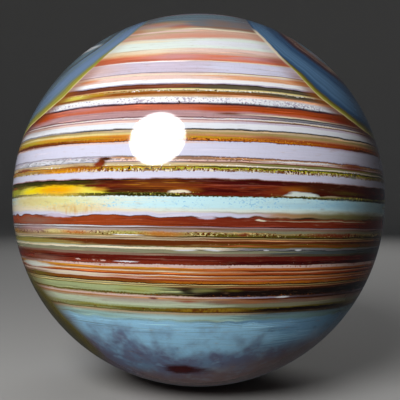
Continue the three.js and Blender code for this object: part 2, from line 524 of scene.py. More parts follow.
LENSES = (
    # the yellow pool on the left and the stains round it
    Lens(-67, 0.4, 9.0, 0.8, Tone.LIME, 0.4),
    Lens(-52, -0.2, 6.0, 1.5, Tone.STRAW, 0.4, 0.8, True),
    Lens(-40, -0.2, 15.5, 1.8, Tone.CANARY, 0.2, sits=True),
    Lens(-30, -0.2, 5.5, 1.3, Tone.STRAW, 0.4, 0.8, True),
    Lens(-39, 0.5, 7.0, 1.1, Tone.AMBER, 0.7),
    Lens(-25, 0.7, 2.0, 0.35, Tone.HONEY, 0.8, 0.8),
    Lens(-42, -1.9, 14.0, 1.4, Tone.STRAW, 0.9, 0.7),
    Lens(-52, -1.8, 10.0, 1.2, Tone.CREAM_GOLD, 0.9, 0.8),
    Lens(-33, -3.9, 7.0, 0.9, Tone.CREAM_GOLD, 0.9, 0.7),
    Lens(-33, -3.9, 7.0, 1.0, Tone.HONEY, 0.9, 0.5, drawn=Drawn.FIBRES),
    # the dark red layer, its wood-like streaks and its two pale eyes
    Lens(-10, 1.6, 8.0, 0.9, Tone.BRONZE, 0.9, 0.5),
    Lens(-12, 1.5, 8.0, 1.1, Tone.OCHRE, 0.9, 0.8, drawn=Drawn.STREAKS),
    Lens(-12, 1.9, 7.0, 0.5, Tone.MUSTARD, 0.9, 0.8, drawn=Drawn.STREAKS),
    Lens(-14, 0.4, 7.0, 0.5, Tone.UMBER, 0.8, 0.7),
    Lens(-3.5, 0.4, 3.0, 0.6, Tone.OCHRE, 0.9, 0.5),
    Lens(8.5, -0.3, 11.5, 0.42, Tone.OXBLOOD, 0.3),
    Lens(-4.5, -0.15, 2.5, 0.6, Tone.CREAM, 0.25, sits=True),
    Lens(9, 1.3, 12.0, 0.7, Tone.RUST, 0.9, 0.8, drawn=Drawn.STREAKS),
    Lens(12, 0.5, 9.0, 0.6, Tone.BRICK, 0.9, 0.7, drawn=Drawn.STREAKS),
    Lens(20, 0.4, 4.0, 0.8, Tone.RUST, 0.9, 0.5),
    Lens(25, 1.2, 3.6, 0.6, Tone.OCHRE, 0.9, 0.7),
    Lens(36, 1.6, 10.0, 1.2, Tone.UMBER, 0.8, 0.9),
    Lens(26, -0.3, 4.7, 0.95, Tone.MINT_MILK, 0.2, sits=True),
    Lens(35, -0.2, 3.0, 0.3, Tone.BEIGE, 0.4, 0.8, True),
    Lens(43, 0.9, 5.0, 0.4, Tone.OLIVE, 0.9, 0.5),
    # the blue of the milk layer on the right, and what runs out over it
    Lens(40, -2.0, 9.0, 0.9, Tone.ICE_BLUE, 0.9, 0.8),
    Lens(28, -2.6, 9.0, 0.5, Tone.ICE_BLUE, 0.9, 0.5),
    Lens(22, -4.9, 7.0, 0.5, Tone.TAN, 0.8, 0.8),
    Lens(44, -4.6, 16.0, 0.9, Tone.MOSS, 0.8, 0.8),
    Lens(27, -5.4, 4.0, 0.2, Tone.BITTER, 0.6, 0.9),
    Lens(15, -6.15, 1.2, 0.18, Tone.CREAM, 0.4),
    Lens(34, -6.1, 17.0, 0.14, Tone.BEIGE, 0.3, 0.8),
    Lens(2, -5.6, 1.8, 0.4, Tone.LAVENDER, 0.4),
    Lens(-39, -5.5, 4.6, 0.42, Tone.LAVENDER, 0.4),
    Lens(-50, -6.8, 9.0, 0.8, Tone.FAWN, 0.9, 0.7),
    Lens(-58, -8.8, 11.0, 1.2, Tone.CHESTNUT, 0.9, 0.6),
    Lens(-50, -8.8, 6.0, 0.9, Tone.MAUVE, 0.9, 0.6),
    # the fault on the left and the layers that it breaks
    Lens(-47, 7.4, 20.0, 0.5, Tone.MILK, 0.6, 0.8),
    Lens(-44, 7.4, 19.0, 0.7, Tone.SLATE, 0.4, 0.9, drawn=Drawn.VEINS),
    Lens(20, 7.4, 18.0, 0.5, Tone.CHESTNUT, 0.5, 0.8, drawn=Drawn.STREAKS),
    Lens(-24.5, 6.9, 1.1, 1.0, Tone.CHESTNUT, 0.5),
    Lens(-23.4, 7.7, 1.2, 0.35, Tone.UMBER, 0.5),
    Lens(-25.4, 6.3, 1.3, 0.6, Tone.BRICK, 0.6),
    Lens(-31, 5.9, 6.0, 0.4, Tone.BRONZE, 0.6, 0.9),
    Lens(-35, 5.3, 10.0, 0.5, Tone.OCHRE, 0.8, 0.6),
    Lens(-38, 5.0, 6.0, 0.3, Tone.AMBER, 0.8, 0.6),
    Lens(-57, 6.1, 6.0, 0.35, Tone.BRICK, 0.7, 0.9),
    Lens(-57, 5.3, 10.0, 0.35, Tone.KHAKI, 0.8, 0.8),
    Lens(27, 7.55, 10.0, 0.2, Tone.SNOW, 0.5, 0.9),
    Lens(45, 7.4, 5.0, 0.9, Tone.BRICK, 0.8, 0.8),
    Lens(-3, 7.75, 6.0, 0.25, Tone.FAWN, 0.5, 0.8),
    Lens(44, 4.9, 1.4, 0.35, Tone.SAGE, 0.5),
    Lens(-17, 4.9, 1.2, 0.2, Tone.CHESTNUT, 0.4, 0.8),
    Lens(7.5, 4.9, 0.9, 0.25, Tone.CHESTNUT, 0.4, 0.8),
    Lens(20, 5.05, 1.3, 0.3, Tone.CHESTNUT, 0.4, 0.8),
    # the rust layer under the dark line at the height of the highlight
    Lens(-53, 12.0, 12.0, 0.6, Tone.CHESTNUT, 0.7, 0.9),
    Lens(-56, 13.0, 7.0, 0.5, Tone.LIME, 0.9, 0.6),
    Lens(-20, 12.8, 4.0, 0.5, Tone.ORANGE, 0.9, 0.6),
    Lens(18, 12.9, 4.0, 0.5, Tone.RUST, 0.9, 0.6),
    Lens(42, 12.2, 10.0, 0.7, Tone.RUST, 0.9, 0.8),
    Lens(50, 11.9, 9.0, 0.3, Tone.UMBER, 0.9, 0.8),
    Lens(-55, 16.4, 9.0, 0.8, Tone.FAWN, 0.9, 0.6),
    # the layers under the shoulders
    Lens(-41, 23.7, 7.0, 0.65, Tone.STRAW, 0.6, 0.7),
    Lens(-30, 23.9, 2.6, 0.4, Tone.MUSTARD, 0.9, 0.8),
    Lens(-40, 22.9, 7.0, 0.25, Tone.CHESTNUT, 0.6, 0.8),
    Lens(-53, 19.4, 6.5, 1.2, Tone.BURNT_ORANGE, 0.6),
    Lens(-33, 20.2, 7.0, 0.4, Tone.ROSE, 0.9, 0.5),
    Lens(5, 19.3, 4.0, 0.6, Tone.BURNT_ORANGE, 0.9, 0.9),
    Lens(7.5, 18.35, 2.6, 0.25, Tone.CHESTNUT, 0.8, 0.9),
    Lens(45, 19.2, 7.0, 1.4, Tone.OXBLOOD, 0.8, 0.8),
    Lens(-36, 27.9, 3.0, 0.5, Tone.ORANGE, 0.8, 0.8),
    Lens(-35, 30.8, 7.0, 1.6, Tone.SHELL, 1.0, 0.6),
    Lens(31, 28.2, 3.0, 0.5, Tone.ORANGE, 0.8, 0.7),
    Lens(-33, 33.5, 6.0, 1.0, Tone.BURNT_ORANGE, 0.9, 0.6),
    Lens(-8, 33.6, 6.0, 0.7, Tone.ROSE, 0.9, 0.8),
    Lens(27, 33.4, 4.5, 1.0, Tone.RUST, 0.9, 0.7),
    Lens(-30, 43.2, 3.0, 0.8, Tone.CORAL, 1.0, 0.5),
    Lens(-29, 35.2, 5.0, 0.6, Tone.HONEY, 1.0, 0.35),
    Lens(10, 45.4, 5.0, 1.6, Tone.FAWN, 1.0, 0.7),
    Lens(-9, 44.2, 3.0, 0.8, Tone.CORAL, 1.0, 0.7),
    Lens(-21, 45.2, 2.5, 0.5, Tone.CORAL, 1.0, 0.5),
    Lens(-16, 45.8, 5.0, 0.5, Tone.KHAKI, 1.0, 0.4),
    Lens(0, 40.4, 12.0, 0.8, Tone.SALMON, 1.0, 0.5),
    Lens(32, 44.0, 2.0, 0.4, Tone.REED, 0.8, 0.9),
    # the browns of the lower half
    Lens(-40, -9.3, 4.0, 0.4, Tone.CREAM_GOLD, 0.8, 0.8),
    Lens(-33, -9.4, 4.0, 0.4, Tone.ORANGE, 0.8, 0.7),
    Lens(-17, -9.3, 5.0, 0.45, Tone.LIME, 0.8, 0.5),
    Lens(-17.5, -9.9, 3.8, 0.12, Tone.SNOW, 0.3),
    Lens(-9, -9.4, 4.5, 0.5, Tone.OCHRE, 0.7, 0.8),
    Lens(11, -9.4, 1.4, 0.4, Tone.BRICK, 0.6, 0.8),
    Lens(38, -9.3, 8.0, 0.5, Tone.BRICK, 0.7, 0.9),
    Lens(-54, -11.9, 14.0, 0.7, Tone.LICHEN, 0.9, 0.6),
    Lens(-14, -11.6, 18.0, 0.6, Tone.CHESTNUT, 0.4),
    Lens(-12, -11.7, 16.0, 0.45, Tone.UMBER, 0.6, 0.9, drawn=Drawn.STREAKS),
    Lens(-3, -13.05, 2.4, 0.2, Tone.MILK, 0.5, 0.8),
    Lens(3.5, -12.95, 2.0, 0.17, Tone.MILK, 0.5, 0.8),
    Lens(17, -12.9, 0.7, 0.16, Tone.MILK, 0.3, 0.8),
    Lens(26, -12.9, 0.9, 0.16, Tone.MILK, 0.3, 0.8),
    Lens(-56, -14.6, 9.0, 0.6, Tone.CHESTNUT, 0.8, 0.7),
    Lens(-33, -15.8, 0.8, 0.14, Tone.BLUSH, 0.4, 0.9),
    Lens(-29, -15.85, 1.8, 0.17, Tone.BLUSH, 0.4, drawn=Drawn.FIBRES),
    Lens(-24.9, -15.8, 0.7, 0.13, Tone.BLUSH, 0.4, 0.9),
    Lens(-18.5, -15.9, 2.7, 0.15, Tone.MILK, 0.4),
    Lens(-46, -16.0, 6.0, 0.6, Tone.FAWN, 0.9, 0.5),
    Lens(-58, -16.7, 10.0, 0.6, Tone.CHESTNUT, 0.7, 0.8),
    Lens(-55, -18.0, 9.5, 0.7, Tone.MINT_MILK, 0.4, 0.8),
    Lens(-36, -19.5, 11.0, 0.35, Tone.CREAM, 0.6, 0.8),
    Lens(-56, -20.2, 8.0, 0.8, Tone.OLIVE, 0.8, 0.9),
    Lens(-16, -22.5, 4.5, 0.6, Tone.LIME, 1.0, 0.5),
    Lens(-3.2, -22.1, 3.0, 0.3, Tone.UMBER, 0.6, 0.9),
    Lens(-2.6, -22.6, 1.5, 0.6, Tone.BITTER, 0.5, 0.9),
    Lens(2, -22.4, 2.6, 0.32, Tone.MOSS, 0.9),
    Lens(9.5, -22.4, 1.8, 0.25, Tone.OLIVE, 1.0, 0.8),
    Lens(-12, -24.6, 1.0, 0.25, Tone.BRICK, 0.6),
    Lens(-2.5, -25.1, 2.4, 0.3, Tone.RUST, 0.9, 0.9),
    Lens(-18, -25.2, 9.0, 0.5, Tone.DUSTY_PINK, 0.9, 0.7),
    Lens(-36, -24.7, 8.0, 0.3, Tone.BRONZE, 0.9, 0.6, drawn=Drawn.STREAKS),
    Lens(-34, -27.0, 10.0, 0.3, Tone.LICHEN, 0.9, 0.7),
    Lens(15, -25.1, 6.0, 0.4, Tone.OCHRE, 0.9, 0.5),
    Lens(42, -24.2, 17.0, 0.35, Tone.UMBER, 0.5, 0.9),
    Lens(24, -24.1, 1.8, 0.25, Tone.SNOW, 0.4),
    Lens(32, -27.3, 17.0, 0.4, Tone.BITTER, 0.3),
    Lens(2, -27.2, 9.0, 0.45, Tone.MUSTARD, 0.5, 0.6),
    Lens(3, -27.3, 9.0, 0.5, Tone.CHESTNUT, 0.5, 0.9, drawn=Drawn.FIBRES),
    Lens(-10, -29.2, 8.0, 0.5, Tone.AQUA_MILK, 0.9, 0.7),
    Lens(2, -29.9, 5.0, 0.25, Tone.LICHEN, 0.9, 0.5),
    Lens(-7.0, -44.4, 4.0, 1.8, Tone.MAROON, 0.4),
    Lens(-1.0, -44.7, 4.4, 1.2, Tone.MAROON, 0.7, 0.8),
)


SHOULDER_STAINS_AND_PAINTED_GLINT = (
    # the white streak high on the left is a painted reflection, a lamp's glint laid into the stone's colour;
    # the others are stains of the stone
    Lens(-60, 40.6, 7.0, 1.0, Tone.SNOW, 0.6, 0.9),
    Lens(-56, 42.6, 5.0, 0.7, Tone.PLUM, 0.9, 0.7),
    Lens(-66, 33.5, 8.0, 4.0, Tone.STORM, 1.0, 0.8),
    Lens(-70, 27.0, 8.0, 4.0, Tone.STORM, 1.0, 0.8),
    Lens(58, 40.0, 4.0, 0.7, Tone.MAUVE, 0.9, 0.6),
    Lens(62, 36.0, 4.0, 0.8, Tone.BEIGE, 0.9, 0.6),
)


class Shore(Enum):
    """The kinds of lining that the old hollow's walls have."""

    GREEN = "blue-grey and green-grey chalcedony behind a broad line of yellow olive"
    BLUE = "blue chalcedony with a brown heart behind a line of olive gold"
    OLIVE = "brown and olive chalcedony"


@dataclass(frozen=True)
class Wall:
    """A side of the old hollow that the layers were laid down in, a plane in the stone.

    Args:
        bearing: degrees round the ball from the middle of the photograph's view, to the right.
        lift: degrees that it faces up from level.
        distance: its distance from the ball's centre, in millimetres.
        shore: the kind of its lining.
    """

    bearing: float
    lift: float
    distance: float
    shore: Shore = Shore.BLUE


WALLS = (
    Wall(-76.3, 42.7, 47.64, Shore.GREEN),
    Wall(68.4, 43.0, 47.63),
    Wall(-76.0, -42.0, 51.2, Shore.OLIVE),
    Wall(172.0, 40.0, 50.2),
    Wall(138.0, -43.0, 51.4, Shore.OLIVE),
)


@dataclass(frozen=True)
class Band:
    """One band of a wall's lining.

    Args:
        depth: how far behind the wall's face it ends, in millimetres.
        tone: its colour.
        edge: how soft its inner face is, in millimetres.
    """

    depth: float
    tone: Tone
    edge: float = 0.15


LININGS = {
    Shore.GREEN: (
        Band(0.12, Tone.CREAM_GOLD, 0.1),
        Band(0.65, Tone.LICHEN, 0.3),
        Band(1.1, Tone.MOSS, 0.4),
        Band(1.6, Tone.STEEL, 0.4),
        Band(3.8, Tone.PERIWINKLE, 1.0),
        Band(5.0, Tone.STEEL, 0.8),
        Band(5.3, Tone.PERIWINKLE, 0.3),
        Band(6.4, Tone.STORM, 0.6),
        Band(12.0, Tone.STEEL, 0.8),
    ),
    Shore.BLUE: (
        Band(0.12, Tone.CREAM_GOLD, 0.1),
        Band(0.45, Tone.LICHEN, 0.25),
        Band(0.75, Tone.OLIVE, 0.3),
        Band(1.4, Tone.INK_BLUE, 0.4),
        Band(4.2, Tone.DENIM, 1.0),
        Band(6.2, Tone.INK_BLUE, 1.0),
        Band(6.8, Tone.PLUM, 0.5),
        Band(7.2, Tone.BARK, 0.4),
        Band(7.6, Tone.FAWN, 0.3),
        Band(8.0, Tone.BARK, 0.3),
        Band(8.8, Tone.FAWN, 0.4),
        Band(12.0, Tone.STEEL, 0.8),
    ),
    Shore.OLIVE: (
        Band(0.9, Tone.OLIVE, 1.0),
        Band(1.8, Tone.PEAT, 0.6),
        Band(2.4, Tone.COCOA, 0.5),
        Band(3.2, Tone.OLIVE, 0.5),
        Band(3.8, Tone.UMBER, 0.5),
        Band(12.0, Tone.STORM, 0.8),
    ),
}


@dataclass(frozen=True)
class Cloud:
    """A field of smooth chance values in the stone.

    Args:
        grain: the size of its patches along each axis, in millimetres.
        seed: a shift that sets it apart from the others.
        detail: how many finer fields are laid over it.
    """

    grain: tuple[float, float, float]
    seed: float
    detail: float = 2.0


# the waves of the layers
SWELL = Cloud((24.0, 24.0, 6.0), 3.1, 1.0)
PINCH = Cloud((9.0, 9.0, 0.9), 7.7)
TEETH = Cloud((0.45, 0.45, 3.0), 12.3, 1.0)
SCALLOPS = Cloud((4.6, 4.6, 8.0), 15.7, 1.0)
TOOTHED_PATCHES = Cloud((6.0, 6.0, 1.5), 17.1, 1.0)
# the places where the layers turn colour
BROAD_DRIFT = Cloud((24.0, 24.0, 3.0), 21.9)
THIN_DRIFT = Cloud((12.0, 12.0, 0.22), 25.9)
# the finest lines
DARK_LINES = Cloud((18.0, 18.0, 0.26), 5.3, 3.0)
PALE_LINES = Cloud((16.0, 16.0, 0.3), 9.1, 3.0)
UPRIGHT_FIBRES = Cloud((0.4, 0.4, 1.6), 11.9, 1.0)
# the specks
SPECKLED_PATCHES = Cloud((7.0, 7.0, 2.0), 73.0, 1.0)
ROUND_GRAINS = Cloud((0.55, 0.55, 0.36), 71.0, 1.0)
TICKS = Cloud((0.42, 0.42, 1.2), 79.0, 1.0)
# the foot
FOOT_BLOTCHES = Cloud((7.0, 7.0, 8.0), 31.0, 4.0)
FOOT_VEILS = Cloud((4.0, 4.0, 8.0), 33.0, 3.0)
FOOT_PALE = Cloud((3.5, 3.5, 3.5), 37.0, 4.0)
FOOT_DARK = Cloud((3.0, 3.0, 2.4), 39.0, 5.0)
# the pools, by the number that a pool's field has
POOL_FIELDS = {number: Cloud((11.0, 11.0, 2.5), seed) for number, seed in ((1, 81.0), (2, 83.0), (3, 87.0))}
# the lenses
RAGGED_BORDERS = Cloud((3.0, 3.0, 0.5), 41.0, 4.0)
LENS_VEINS = Cloud((2.6, 2.6, 0.4), 43.0)
LENS_FIBRES = Cloud((0.9, 0.9, 3.0), 45.0)
LENS_STREAKS = Cloud((8.0, 8.0, 0.3), 47.0, 3.0)
# the walls
WALL_WAVES = Cloud((9.0, 9.0, 9.0), 51.0, 3.0)
WALL_BULGES = Cloud((22.0, 22.0, 22.0), 53.0, 1.0)
LINING_WAVES = Cloud((4.0, 4.0, 4.0), 57.0, 3.0)
LINING_RINGS = Cloud((0.22, 1.0, 1.0), 67.0)
# the polish
FINE_GRAIN = Cloud((0.6, 0.6, 0.3), 61.0)
LONG_RELIEF = Cloud((14.0, 14.0, 0.6), 91.0, 1.0)
ROUND_RELIEF = Cloud((5.0, 5.0, 5.0), 93.0, 1.0)


class Value:
    """One output of a node, with the operators that a finish is written in."""

    def __init__(self, bench: "Bench", socket: bpy.types.NodeSocket) -> None:
        """Hold the socket and the bench that it is on."""
        self.bench = bench
        self.socket = socket

    def _math(self, operation: str, first: Any, second: Any) -> "Value":
        """Add one Math node."""
        return self.bench.add("ShaderNodeMath", {"operation": operation}, {0: first, 1: second})

    def __add__(self, other: Any) -> "Value":
        """Add."""
        return self._math("ADD", self, other)

    def __radd__(self, other: Any) -> "Value":
        """Add, with the number first."""
        return self._math("ADD", other, self)

    def __sub__(self, other: Any) -> "Value":
        """Subtract."""
        return self._math("SUBTRACT", self, other)

    def __rsub__(self, other: Any) -> "Value":
        """Subtract from a number."""
        return self._math("SUBTRACT", other, self)

    def __mul__(self, other: Any) -> "Value":
        """Multiply."""
        return self._math("MULTIPLY", self, other)

    def __rmul__(self, other: Any) -> "Value":
        """Multiply, with the number first."""
        return self._math("MULTIPLY", other, self)

    def __lt__(self, other: Any) -> "Value":
        """Give 1 where this is less than the other, and 0 elsewhere."""
        return self._math("LESS_THAN", self, other)

    def most(self, other: Any) -> "Value":
        """Give the larger of the two."""
        return self._math("MAXIMUM", self, other)

    def output(self, name: str) -> "Value":
        """Give another output of the same node."""
        return Value(self.bench, self.socket.node.outputs[name])


Feed = Union[Value, float, Sequence[float]]


class Bench:
    """The node tree of one finish, and the ways that nodes are added to it."""

    MIX_FACTOR = 0
    MIX_FIRST_COLOUR = 6
    MIX_SECOND_COLOUR = 7
    MIX_COLOUR_OUT = 2

    def __init__(self, owner: Union[bpy.types.Material, bpy.types.World]) -> None:
        """Empty the owner's tree and take it over.

        Args:
            owner: the material or world that is finished.
        """
        owner.use_nodes = True
        self.tree = owner.node_tree
        self.tree.nodes.clear()

    def add(
        self,
        kind: str,
        settings: Optional[dict[str, Any]] = None,
        inputs: Optional[dict[Union[int, str], Feed]] = None,
        output: Union[int, str] = 0,
    ) -> Value:
        """Add one node.

        Args:
            kind: Blender's name for the node's type.
            settings: the node's own settings, set first; stops fills a ramp.
            inputs: values or links, by the socket's name or number.
            output: the output that is given back.

        Returns:
            The chosen output.
        """
        node = self.tree.nodes.new(kind)
        for name, setting in (settings or {}).items():
            if name == "stops":
                self._fill_ramp(node.color_ramp, setting)
            else:
                setattr(node, name, setting)
        for key, feed in (inputs or {}).items():
            if isinstance(feed, Value):
                self.tree.links.new(feed.socket, node.inputs[key])
            else:
                node.inputs[key].default_value = feed
        return Value(self, node.outputs[output]) if node.outputs else Value(self, node.inputs[0])

    @staticmethod
    def _fill_ramp(ramp: bpy.types.ColorRamp, stops: Sequence[tuple[float, Colour]]) -> None:
        """Put the stops on a ramp, in order.

        Args:
            ramp: a new ramp, with its two first stops.
            stops: position and colour of each stop.
        """
        ramp.interpolation = "LINEAR"
        first, last = ramp.elements
        first.position, first.color = stops[0]
        last.position, last.color = stops[-1]
        for position, colour in stops[1:-1]:
            ramp.elements.new(position).color = colour

    def mix(self, share: Feed, first: Feed, second: Feed, how: str = "MIX") -> Value:
        """Mix two colours.

        Args:
            share: how much of the second colour.
            first: the colour underneath.
            second: the colour on top.
            how: Blender's name for the way they mix.

        Returns:
            The mixed colour.
        """
        settings = {"data_type": "RGBA", "blend_type": how}
        inputs = {self.MIX_FACTOR: share, self.MIX_FIRST_COLOUR: first, self.MIX_SECOND_COLOUR: second}
        return self.add("ShaderNodeMix", settings, inputs, self.MIX_COLOUR_OUT)

    def tinted(self, colour: Value, red: float, green: float, blue: float) -> Value:
        """Multiply each channel of a colour by a number of its own."""
        return self.mix(1.0, colour, (red, green, blue, 1.0), "MULTIPLY")

    def rise(self, value: Feed, start: Feed, end: Feed, low: float = 0.0, high: float = 1.0) -> Value:
        """Rise smoothly from low to high while a value goes from start to end.

        Args:
            value: the value that is followed.
            start: where the rise starts, above or below the end.
            end: where it ends.
            low: what it gives up to the start.
            high: what it gives from the end on.

        Returns:
            The smooth rise.
        """
        settings = {"interpolation_type": "SMOOTHSTEP", "clamp": False}
        inputs = {"Value": value, "From Min": start, "From Max": end, "To Min": low, "To Max": high}
        return self.add("ShaderNodeMapRange", settings, inputs)

    def size_of(self, value: Value) -> Value:
        """Give a value without its sign."""
        return self.add("ShaderNodeMath", {"operation": "ABSOLUTE"}, {0: value})

    def cloud(self, place: Value, cloud: Cloud) -> Value:
        """Give the chance values of a cloud, between about -1 and 1.

        Args:
            place: where in the stone, in millimetres.
            cloud: the cloud's grain, seed and detail.

        Returns:
            The chance value.
        """
        shift = (cloud.seed, -cloud.seed, cloud.seed * 0.37)
        inputs = {"Vector": place, "Location": shift, "Scale": tuple(1 / size for size in cloud.grain)}
        shifted = self.add("ShaderNodeMapping", {"vector_type": "POINT"}, inputs)
        inputs = {"Vector": shifted, "Scale": 1.0, "Detail": cloud.detail}
        return self.add("ShaderNodeTexNoise", {}, inputs) * 4.0 - 2.0


class Recipe(Bench):
    """A node group for what a finish does again and again with other numbers."""

    def __init__(self, title: str, **takes: str) -> None:
        """Start the group.

        Args:
            title: the group's name.
            takes: its inputs, each with Blender's word for the kind of socket.
        """
        self.tree = bpy.data.node_groups.new(title, "ShaderNodeTree")
        for name, kind in takes.items():
            self.tree.interface.new_socket(name, in_out="INPUT", socket_type=f"NodeSocket{kind}")
        taken = self.add("NodeGroupInput")
        self.takes = {name: taken.output(name) for name in takes}

    def close(self, **gives: Value) -> bpy.types.NodeTree:
        """Finish the group.

        Args:
            gives: its outputs.

        Returns:
            The group's tree.
        """
        for name, value in gives.items():
            self.tree.interface.new_socket(name, in_out="OUTPUT", socket_type=value.socket.bl_idname)
        self.add("NodeGroupOutput", {}, gives)
        return self.tree


@dataclass(frozen=True)
class Place:
    """Where a point of the surface is in the stone, in millimetres from the ball's centre.

    Args:
        stone: the point, with the layers level.
        right: its distance to the right.
        back: its distance back.
        up: its height.
        warped: the point with the layers' waves and teeth taken up in its height.
        height: the height with those waves.
    """

    stone: Value
    right: Value
    back: Value
    up: Value
    warped: Value
    height: Value


class PolishedAgate:
    """The finish of the ball: level layers, lenses, old walls and clouds under a mirror polish.

    It starts with the layers, and each step then lays its own colours over the colour so far. Lengths are in
    millimetres, and a pair of them is where something starts and where it is full.
    """

    RADIUS = 55.0
    LEAN_BACK_DEGREES = -1.98
    LEAN_RIGHT_DEGREES = 0.85
    SWELLING_HEIGHTS = (31.0, 49.0)
    HEIGHT_SHIFT = 0.2
    LAYERS_IN_A_RAMP = 15
    TURN_REACH = 60.0
    TURN_SOFTNESS = 6.0
    DRIFT_WANDER = 7.0
    DRIFT_SHIFT = 17.5
    MOST_TEETH = 0.6
    ROUGH_TOP = 32.0
    STOPS_IN_A_RAMP = 28
    FOOT_HEIGHTS = (-30.0, -34.0)
    FOOT_CLOUD_HEIGHTS = (-30.0, -46.0)
    SOLE_HEIGHTS = (-43.0, -51.0)
    UNSEEN_BACK = (-32.0, -14.0)
    FLAT_FOOT = 0.06
    HALO_DEPTHS = (-2.8, -0.3)
    # painted shade: where the right side and the right of the foot are darkened in the colour, and where it
    # fades out towards the back
    SHADED_RIGHT = (28.0, 46.0)
    SHADED_RIGHT_OF_FOOT = (2.0, 26.0)
    SHADED_FOOT_HEIGHTS = (-30.0, -40.0)
    SHADE_FADES_BACK = (5.0, -25.0)
    ROUGHNESS = 0.05
    REFRACTION = 1.5
    RELIEF_METRES = 0.0000003

    def __init__(self, centre: tuple[float, float, float]) -> None:
        """Start the material with the level layers.

        Args:
            centre: the ball's centre, in metres.
        """
        self.material = bpy.data.materials.new("banded_agate_polish")
        self.bench = Bench(self.material)
        self.place = self._find_place(centre)
        self.colour, self.grain = self._layers()

    def paint(self) -> bpy.types.Material:
        """Lay everything else over the layers, and polish the stone.

        Returns:
            The finished material.
        """
        self._hairlines()
        strewn = self._specks()
        self._foot()
        self._pools()
        lens_group, ragged, drawn = self._lens_tools()
        self._lenses(LENSES, lens_group, ragged, drawn)
        self._walls()
        # the shoulder stains, with the painted reflection high on the left
        self._lenses(SHOULDER_STAINS_AND_PAINTED_GLINT, lens_group, ragged, drawn)
        # painted shade: the right side is darkened in the colour where the key lamp's light falls off
        self._paint_shade_on_right()
        self._gloss(strewn)
        return self.material

    def _lay(self, share: Feed, tone: Tone) -> None:
        """Lay a tone over the colour so far."""
        self.colour = self.bench.mix(share, self.colour, tone.light)

    def _stone_cloud(self, cloud: Cloud) -> Value:
        """Give a cloud that lies still in the stone."""
        return self.bench.cloud(self.place.stone, cloud)

    def _layer_cloud(self, cloud: Cloud) -> Value:
        """Give a cloud that follows the waves of the layers."""
        return self.bench.cloud(self.place.warped, cloud)

    def _find_place(self, centre: tuple[float, float, float]) -> Place:
        """Find the place in the stone's own axes, with its layers level, and the waves of the layers there.

        Args:
            centre: the ball's centre, in metres.

        Returns:
            The place.
        """
        bench = self.bench
        spot = bench.add("ShaderNodeTexCoord", output="Object")
        lean = (math.radians(self.LEAN_BACK_DEGREES), math.radians(self.LEAN_RIGHT_DEGREES), 0.0)
        inputs = {"Vector": spot, "Location": centre, "Rotation": lean, "Scale": (MM, MM, MM)}
        stone = bench.add("ShaderNodeMapping", {"vector_type": "TEXTURE"}, inputs)
        parts = bench.add("ShaderNodeSeparateXYZ", {}, {0: stone})
        right, back, up = (parts.output(axis) for axis in "XYZ")
        patchy = bench.rise(bench.cloud(stone, TOOTHED_PATCHES), -0.6, 1.2, 0.1, 1.0)
        teeth_reach = self._rough_ramp(up, [face.teeth for face in ROUGH_FACES])
        scallop_reach = self._rough_ramp(up, [face.scallops for face in ROUGH_FACES])
        swell = bench.cloud(stone, SWELL) * bench.rise(up, *self.SWELLING_HEIGHTS, 0.1, 1.0)
        pinch = bench.cloud(stone, PINCH) * 0.1
        teeth = bench.cloud(stone, TEETH) * (teeth_reach * patchy * 0.7 + 0.02)
        scallops = bench.cloud(stone, SCALLOPS) * (scallop_reach * 0.6 + 0.02)
        height = up + swell + pinch + teeth + scallops + self.HEIGHT_SHIFT
        warped = bench.add("ShaderNodeCombineXYZ", {}, {0: right, 1: back, 2: height})
        warped = bench.add("ShaderNodeMapping", {"vector_type": "POINT"}, {"Vector": warped})
        return Place(stone, right, back, up, warped, height)

    def _rough_ramp(self, height: Value, reaches: Sequence[float]) -> Value:
        """Give how far the teeth or scallops reach at each height.

        Args:
            height: above the ball's centre, in millimetres.
            reaches: the reach at each of the rough faces, in millimetres.

        Returns:
            The reach, in millimetres.
        """
        stops = [(0.0, (0.0, 0.0, 0.0, 0.0))]
        for face, reach in zip(ROUGH_FACES, reaches):
            share = reach / self.MOST_TEETH
            for offset, amount in ((face.spread, 0.0), (0.0, share), (-face.spread, 0.0)):
                position = (self.ROUGH_TOP - face.height - offset) / (2 * self.ROUGH_TOP)
                stops.append((position, (0.0, 0.0, 0.0, amount)))
        down = (self.ROUGH_TOP - height) * (1 / (2 * self.ROUGH_TOP))
        reach = None
        for part in (stops[:self.STOPS_IN_A_RAMP], stops[self.STOPS_IN_A_RAMP - 1:]):
            ramp = self.bench.add("ShaderNodeValToRGB", {"stops": part}, {0: down}, "Alpha")
            reach = ramp if reach is None else reach + ramp
        return reach * self.MOST_TEETH

    def _beds(self) -> list[tuple[float, Sequence[Layer]]]:
        """Sort the layers into runs short enough for one ramp.

        Returns:
            The height of each run's top, and its layers.
        """
        beds = []
        top = self.RADIUS + 1
        for start in range(0, len(LAYERS), self.LAYERS_IN_A_RAMP):
            run = LAYERS[start:start + self.LAYERS_IN_A_RAMP]
            beds.append((top, run))
            top = run[-1].floor
        return beds

    def _stops(self, top: float, run: Sequence[Layer], east: bool) -> list[tuple[float, Colour]]:
        """List a ramp's stops, two to a layer.

        The alpha of the western colours tells where the layer turns colour, and that of the eastern ones how
        strongly fine lines mark it.

        Args:
            top: height of the first layer's upper face.
            run: the layers.
            east: whether the stops give the colours of the right-hand side.

        Returns:
            Position and colour of each stop.
        """
        span = top - run[-1].floor
        stops = []
        upper, upper_edge = top, 0.0
        for layer in run:
            if east:
                colour = linear((layer.east or layer.west).value, layer.grain)
            else:
                colour = linear(layer.west.value, 0.5 + layer.turn / (2 * self.TURN_REACH))
            thickness = upper - layer.floor
            start = min(upper_edge / 2, thickness * 0.45)
            end = min(layer.edge / 2, thickness * 0.45)
            stops.append(((top - upper + start) / span, colour))
            stops.append(((top - layer.floor - end) / span, colour))
            upper, upper_edge = layer.floor, layer.edge
        return stops

